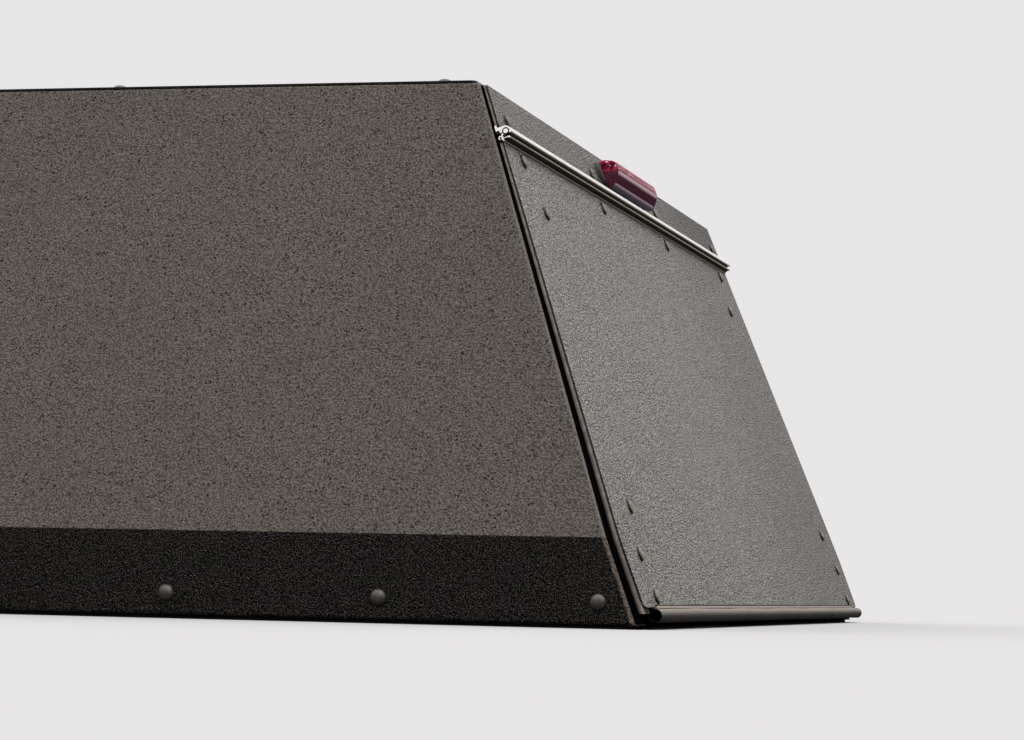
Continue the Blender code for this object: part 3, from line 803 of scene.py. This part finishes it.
class CANOPY_OT_hinge(Operator):
    """Make the hinge's two extrusions and the black strip in their channel, set there as painted
    shade
    """

    bl_idname = "canopy.hinge"
    bl_label = "Make the Hinge"

    def execute(self, context):
        metal = aluminium_finish(tuple(context.scene.canopy_trim.metal_colour))
        hood, arm = self.hood(), self.arm()
        add_piece("hinge_hood", self.leaf("hinge_hood", HOOD_FLANGE + hood + [HOOD_FOOT],
                                          HOOD_TAB + hood),
                  metal, "canopy", ["hinge_upper_leaf"])
        curl = (arc(CURL_CENTRE, 0.0021, radians(-70), radians(250), 16)
                + arc(CURL_CENTRE, 0.0011, radians(250), radians(-70), 12))
        add_piece("hinge_arm", self.leaf("hinge_arm", arm + ARM_PLATE, arm + [ARM_FOOT], curl),
                  metal, "rear_door", ["hinge_lower_leaf"])
        # A black strip set in the channel as painted shade
        add_piece("rain_gasket", crosswise("rain_gasket", [(STRIP, *self.ends(-0.001))]),
                  painted_finish("channel shade", CHANNEL_SHADE, 0.7), "rear_door")
        return {"FINISHED"}

    def ends(self, inset):
        """Left and right end of a piece that stops inset inside the sides."""
        return (lambda z: -side_x(z, inset)), (lambda z: side_x(z, inset))

    def hood(self):
        """From the header's face over the top, round the lip and back round the socket."""
        turns = [radians(90 - 6 * step) for step in range(15)]
        outer = [(HOOD_MIDDLE[0] + HOOD_REACH[0] * cos(turn) ** 0.7,
                  HOOD_MIDDLE[1] + HOOD_REACH[1] * sin(turn) ** 0.75) for turn in turns]
        lip = arc((0.0044, -0.0021), 0.0007, 0.0, -pi / 2, 4) + [(0.0037, -0.0028)]
        return outer + lip + arc((0.0, 0.0), SOCKET, radians(-40), radians(185), 24)

    def arm(self):
        """Outline from the arm's root on the leg, over lip and rib, round the bead."""
        rib = [(-0.0039, -0.0060), (0.0021, -0.0060)]
        rib += arc((0.0021, -0.0063), 0.0003, pi / 2, 0.0, 3) + RIB_EDGE
        bead = arc((0.0, 0.0), BEAD, radians(-135.5), radians(195.5), 28)
        return ARM_LIP[::-1] + rib[::-1] + [(-0.0039, -0.00306)] + bead + [(-0.0051, -0.00214)]

    def leaf(self, name, full, short, curl=None):
        """The whole section between the frame's rubber strips, a shorter one over them."""
        inner_left, inner_right = self.ends(HINGE_STEP)
        start_left, start_right = self.ends(HINGE_STEP - HINGE_SLIT)
        tip_left, tip_right = self.ends(-HINGE_OVERHANG)
        parts = [(full, inner_left, inner_right), (short, tip_left, start_left),
                 (short, start_right, tip_right)]
        if curl is not None:
            parts.append((curl, tip_left, tip_right))
        return crosswise(name, parts)


class CANOPY_OT_rubber(Operator):
    """Make the rounded frame seals and the door's hollow bottom seal"""

    bl_idname = "canopy.rubber"
    bl_label = "Make the Seals"

    def execute(self, context):
        trim = context.scene.canopy_trim
        base, dust_and_sheen = tuple(trim.rubber_colour), tuple(trim.dust_and_sheen_colour)
        rubber = rubber_finish(base, dust_and_sheen)
        dress(["header_seal"], rubber)
        for side, sign in (("left", -1), ("right", 1)):
            self.frame_seal(side, sign, rubber)
        self.bottom_seal(trim, tube_finish(base, tinted(dust_and_sheen, 0.9),
                                           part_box("door_bottom_seal")))
        self.edge_lip(trim, tinted(dust_and_sheen, 1.2))
        return {"FINISHED"}

    def frame_seal(self, side, sign, rubber):
        """Strip between jamb and door, cut away where the hinge's ends pass."""
        node = "frame_seal_" + side
        low, high = (corner.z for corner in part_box(node))
        below = [self.seal_ring(sign, level)
                 for level in (low, None, HINGE.z - SEAL_CUT_BELOW)]
        above = [self.seal_ring(sign, level) for level in (HINGE.z + SEAL_CUT_ABOVE, high)]
        add_piece("frame_bulb_" + side, joined(node, [loft(node, below), loft(node, above)]),
                  rubber, "canopy", [node])

    def seal_ring(self, sign, level):
        """The strip's section at this height, or along the crease where level is None."""
        far = SEAL_INSET + SEAL_WIDTH
        turns = [radians(90 - 18 * step) for step in range(11)]
        section = [(0.5 - 0.5 * sin(turn), SEAL_INSET + 0.0022 * (1 - cos(turn)))
                   for turn in turns] + [(1.0, far), (0.0, far)]
        ring = []
        for share, inset in section:
            z = CREASE_HEIGHT - inset * tan(SIDE_LEAN / 2) if level is None else level
            rise = (z - DECK) / (HEIGHT - DECK)
            thick = SEAL_THICK_BASE + (SEAL_THICK_TOP - SEAL_THICK_BASE) * rise
            ring.append((sign * side_x(z, inset), door_y(z, -(SHEET + GAP + share * thick)),
                         z))
        return ring

    def stray(self, x, trim):
        """How far the seal strays from straight at x."""
        return trim.seal_wave * (sin(x * 23.0) + 0.6 * sin(x * 51.0 + 1.0)) * 0.6

    def bottom_seal(self, trim, rubber):
        """Hollow tube that hangs below the door."""
        low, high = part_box("door_bottom_seal")
        middle = (low + high) / 2
        radius = (high.z - low.z) / 2
        rings = [[], []]
        for step in range(TRIM_STEPS + 1):
            x = low.x + (high.x - low.x) * step / TRIM_STEPS
            for ring, size in zip(rings, (radius - trim.seal_wave, radius - 0.0020)):
                circle = arc((middle.y, middle.z + 0.5 * self.stray(x, trim)), size, 0.0,
                             2 * pi * (TUBE_SIDES - 1) / TUBE_SIDES, TUBE_SIDES - 1)
                ring.append([(x, y, z) for y, z in circle])
        outer, inner = rings
        add_piece("bottom_tube", loft("bottom_tube", outer + inner[::-1], looped=True), rubber,
                  "rear_door", ["door_bottom_seal"])

    def edge_lip(self, trim, pale):
        """Clip round the door sheet's lower edge, whose outer lip waves a little."""
        low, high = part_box("door_seal_clip")
        edge = (DOOR_BOTTOM - HINGE.z + HINGE_STAND * sin(DOOR_LEAN)) / cos(DOOR_LEAN) - GAP
        out, back = GAP - HINGE_STAND, -HINGE_STAND - SHEET - GAP
        thick, chamfer, leg, shorter = CLIP_THICK, 0.0003, CLIP_LEG, 0.024
        rings = []
        for step in range(TRIM_STEPS + 1):
            x = low.x + shorter + (high.x - low.x - 2 * shorter) * step / TRIM_STEPS
            top = edge + 0.0024 + 0.5 * self.stray(x, trim)
            section = [(out + 0.0008, top), (out + 0.0002, top + 0.0004), (out, top - 0.0002),
                       (out, edge), (back, edge), (back, edge + leg),
                       (back - thick, edge + leg), (back - thick, edge - thick + chamfer),
                       (back - thick + chamfer, edge - thick),
                       (out + thick - chamfer, edge - thick),
                       (out + thick, edge - thick + chamfer), (out + thick, top - 0.0006)]
            rings.append([from_hinge(x, a, b) for a, b in section])
        add_piece("edge_lip", loft("edge_lip", rings), lip_finish(pale, edge), "rear_door",
                  ["door_seal_clip"])


class CANOPY_OT_bolts(Operator):
    """Set the dome bolts along the band and the roof's edges"""

    bl_idname = "canopy.bolts"
    bl_label = "Set the Bolts"

    def execute(self, context):
        sizes = context.scene.canopy_fasteners
        coat = context.scene.canopy_coat
        finish = head_finish("bolt coat", BOLT_COAT, coat, 0.9)
        places = []
        rear = side_rear_y(HEIGHT) + ROOF_BOLT_START
        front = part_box("roof_panel")[1].y - ROOF_BOLT_START
        for sign in (-1, 1):
            for number in range(sizes.bolt_count):
                y = REAR_Y + BAND_BOLT_START + number * sizes.bolt_pitch
                places.append(((sign * BASE_HALF, y, BAND_BOLT_HEIGHT), (sign, 0.0, 0.0)))
            for number in range(sizes.roof_count):
                y = min(rear + number * sizes.roof_pitch, front)
                x = sign * (side_x(HEIGHT) - ROOF_BOLT_INSET)
                places.append(((x, y, HEIGHT), (0.0, 0.0, 1.0)))
        fasten("dome_bolts", places, head_mesh("dome", BOLT_PROFILE), sizes.bolt_diameter,
               sizes.bolt_height, finish, "canopy")
        return {"FINISHED"}


class CANOPY_OT_rivets(Operator):
    """Set the rivets of the door and of the header"""

    bl_idname = "canopy.rivets"
    bl_label = "Set the Rivets"

    def execute(self, context):
        sizes = context.scene.canopy_fasteners
        coat = context.scene.canopy_coat
        finish = head_finish("rivet coat", RIVET_COAT, coat, 0.3, shaded_rim=True)
        axis = (0.0, -cos(DOOR_LEAN), sin(DOOR_LEAN))
        for body, spots in (("canopy", HEADER_RIVETS), ("rear_door", DOOR_RIVETS)):
            places = [((sign * x, door_y(z), z), axis) for x, z in spots for sign in (-1, 1)]
            fasten("rivets_" + body, places, head_mesh("rivet", RIVET_PROFILE),
                   sizes.rivet_diameter, sizes.rivet_height, finish, body)
        return {"FINISHED"}


# The lens's section, as (out, up) from its middle in millimetres, and its rings along X,
# as (share of half its length, share of the section's size)
LENS_SECTION = [(0.0, -18.5), (4.0, -18.5), (6.0, -17.0), (12.0, -10.6), (13.2, -9.0),
                (15.6, -4.0), (16.0, -3.0), (16.0, 5.4), (15.2, 6.8), (13.6, 8.6),
                (12.4, 9.6), (6.0, 12.6), (5.0, 13.0), (0.0, 13.0)]
LENS_RINGS = [(-1.0, 0.40), (-0.985, 0.62), (-0.955, 0.80), (-0.905, 0.93), (-0.84, 1.0),
              (0.84, 1.0), (0.905, 0.93), (0.955, 0.80), (0.985, 0.62), (1.0, 0.40)]


class CANOPY_OT_lamp(Operator):
    """Make the brake light's faceted lens on its housing"""

    bl_idname = "canopy.lamp"
    bl_label = "Make the Brake Light"

    def execute(self, context):
        dress(["brake_light_base"], painted_finish("lamp housing", LAMP_HOUSING, 0.5))
        add_piece("faceted_lens", self.lens(), self.lens_finish(context.scene.canopy_lamp),
                  "canopy", ["brake_light_lens"], sharp=radians(12))
        return {"FINISHED"}

    def lens(self):
        """Long bar of red facets, cut back in steps at both ends."""
        low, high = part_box("brake_light_lens")
        half = 0.89 * (high.x - low.x) / 2
        rings = []
        for along, size in LENS_RINGS:
            rings.append([from_hinge(along * half, -0.0004 + out * (0.3 + 0.7 * size) / 1000,
                                     LIGHT_RISE + up * (0.55 + 0.45 * size) / 1000)
                          for out, up in LENS_SECTION])
        return loft("faceted_lens", rings)

    def lens_finish(self, lamp):
        """Pink grooved front and maroon underside, painted as lit and shaded copies of one red,
        with a pale painted highlight along the edge and on the lower bevel, red facets at the
        ends and a faint glow of painted light.
        """
        finish = Finish("red lens")
        rise = (hinge_rise(finish) - LIGHT_RISE) * 1000.0
        lens, edge = tuple(lamp.lens_colour), tuple(lamp.edge_highlight_colour)
        # Painted highlight on the lower bevel
        under = finish.mix(finish.between(rise, -18.0, -15.6), LENS_FOOT,
                           tinted(edge, 0.8))
        tone = finish.mix(1 - finish.between(rise, -15.9, -15.0), lens, under)
        # Painted highlight along the lens's edge
        pale = finish.between(rise, -9.0, -5.6) * (1 - finish.between(rise, -3.9, -3.3))
        tone = finish.mix(pale * 0.9, tone, edge)
        ridges = finish.noise(0.0013, 1.0, place=finish.stretched(0.05, 1.0, 1.0))
        # Painted light: the upper part of the lens is painted a lighter pink
        pink = finish.mix(finish.between(ridges, 0.40, 0.60), tuple(lamp.lit_top_colour),
                          tinted(lamp.lit_top_colour, 0.5))
        tone = finish.mix(finish.between(rise, -2.8, -2.2), tone, pink)
        ends = finish.between(abs(finish.axes()[0]), 0.106, 0.110)
        tone = finish.mix(ends, tone, self.facets(finish, lamp, rise))
        # Painted light: the lens glows faintly with its own colours
        return finish.done(Base_Color=tone, Roughness=0.35, Specular_IOR_Level=0.0,
                           Emission_Color=tone, Emission_Strength=0.35)

    def facets(self, finish, lamp, rise):
        """Red cells with pale painted glints above, painted bright as painted light, and dim
        ones below as painted shade.
        """
        spark = finish.split(finish.cells(0.0042, 0.9, "Color"))[0]
        cell = finish.mix(finish.between(spark, 0.2, 0.65), FACET_DARK,
                          tuple(lamp.lit_facet_colour))
        # Painted glints on the facets
        spots = 1 - finish.between(finish.cells(0.0062), 0.16, 0.30)
        cell = finish.mix(spots, cell, FACET_GLINT)
        dim = finish.mix(finish.between(spark, 0.4, 0.8), tuple(lamp.lens_colour), FACET_DIM)
        return finish.mix(finish.between(rise, -4.0, -1.5), dim, cell)


class CANOPY_OT_stage(Operator):
    """Lay the floor, set the lights and aim the camera"""

    bl_idname = "canopy.stage"
    bl_label = "Set the Stage"

    def execute(self, context):
        stage = context.scene.canopy_stage
        self.floor(stage)
        self.sky(context.scene, stage)
        self.sun(stage)
        self.camera(context.scene)
        context.scene.view_settings.view_transform = "Standard"
        return {"FINISHED"}

    def floor(self, stage):
        """Pale where the camera sees it, darker where it lights the canopy."""
        finish = Finish("pale floor")
        seen = finish.node("ShaderNodeLightPath", out="Is Camera Ray")
        tone = finish.mix(seen, tuple(stage.bounce_colour), tuple(stage.floor_colour))
        shader = finish.node("ShaderNodeBsdfDiffuse", None, {"Color": tone})
        mesh = bpy.data.meshes.new("floor")
        reach = 150.0
        mesh.from_pydata([(-reach, -reach, 0), (reach, -reach, 0), (reach, reach, 0),
                          (-reach, reach, 0)], [], [(0, 1, 2, 3)])
        mesh.materials.append(finish.close(shader))
        floor = bpy.data.objects.new("floor", mesh)
        bpy.context.scene.collection.objects.link(floor)

    def sky(self, scene, stage):
        """Pale to the camera; otherwise bright above, pale at the far side, dark behind."""
        world = Finish("studio", bpy.data.worlds.new("studio"))
        toward = world.node("ShaderNodeTexCoord", out="Generated")
        across, along, up = world.split(toward)
        dark = tinted((1.0, 0.97, 0.94), stage.horizon_strength)
        far = world.between(across, -0.1, 0.6) * world.between(up, 0.0, 0.16)
        light = world.mix(far, dark, tuple(stage.backdrop_colour))
        light = world.mix(world.between(up, 0.16, 0.62), light,
                          tinted((1.0, 0.985, 0.96), stage.sky_strength))
        soft = world.node("ShaderNodeBackground", None, {"Color": light})
        pale = world.node("ShaderNodeBackground", None,
                          {"Color": tuple(stage.backdrop_colour)})
        seen = world.node("ShaderNodeLightPath", out="Is Camera Ray")
        both = world.node("ShaderNodeMixShader", None, {0: seen, 1: soft, 2: pale})
        scene.world = world.close(both, "ShaderNodeOutputWorld")

    def sun(self, stage):
        lamp = bpy.data.lights.new("soft sun", "SUN")
        lamp.angle = radians(40.0)
        lamp.energy = stage.sun_strength
        lamp.color = (1.0, 0.985, 0.96)
        holder = bpy.data.objects.new("soft sun", lamp)
        holder.rotation_euler = Vector((-0.5, -0.6, 1.5)).to_track_quat("Z", "Y").to_euler()
        bpy.context.scene.collection.objects.link(holder)

    def camera(self, scene):
        """Low by the left rear corner, with a long lens, as the photograph was taken."""
        yaw, pitch, roll = 1.32514, 0.07108, 0.02186
        forward = Vector((sin(yaw) * cos(pitch), cos(yaw) * cos(pitch), sin(pitch)))
        right = Vector((cos(yaw), -sin(yaw), 0.0))
        up = right.cross(forward)
        tilted_right = cos(roll) * right + sin(roll) * up
        tilted_up = cos(roll) * up - sin(roll) * right
        lens = bpy.data.cameras.new("camera")
        lens.sensor_width = 36.0
        lens.lens = 108.42
        lens.clip_end = 500.0
        camera = bpy.data.objects.new("camera", lens)
        turn = Matrix((tilted_right, tilted_up, -forward)).transposed()
        place = Matrix.Translation((-3.4319, REAR_Y - 0.56296, DECK + 0.03035))
        camera.matrix_world = place @ turn.to_4x4()
        scene.collection.objects.link(camera)
        scene.camera = camera


class CANOPY_PT_panel(Panel):
    """Canopy pieces and stage"""

    bl_idname = "CANOPY_PT_panel"
    bl_label = "Canopy"
    bl_space_type = "VIEW_3D"
    bl_region_type = "UI"
    bl_category = "Canopy"

    def draw(self, context):
        for name in GROUPS:
            box = self.layout.box()
            settings = getattr(context.scene, name)
            for item in type(settings).__annotations__:
                box.prop(settings, item)
        for step in STEPS:
            self.layout.operator(step.bl_idname)


GROUPS = {
    "canopy_coat": CanopyCoat, "canopy_fasteners": CanopyFasteners, "canopy_trim": CanopyTrim,
    "canopy_lamp": CanopyLamp, "canopy_stage": CanopyStage,
}
STEPS = (CANOPY_OT_coat, CANOPY_OT_frame, CANOPY_OT_hinge, CANOPY_OT_rubber, CANOPY_OT_bolts,
         CANOPY_OT_rivets, CANOPY_OT_lamp, CANOPY_OT_stage)


def register():
    for item in (*GROUPS.values(), *STEPS, CANOPY_PT_panel):
        bpy.utils.register_class(item)
    for name, group in GROUPS.items():
        setattr(bpy.types.Scene, name, PointerProperty(type=group))


def unregister():
    for name in GROUPS:
        delattr(bpy.types.Scene, name)
    for item in reversed((*GROUPS.values(), *STEPS, CANOPY_PT_panel)):
        bpy.utils.unregister_class(item)


def main():
    register()
    for step in STEPS:
        area, name = step.bl_idname.split(".")
        getattr(getattr(bpy.ops, area), name)()


if __name__ == "__main__":
    main()
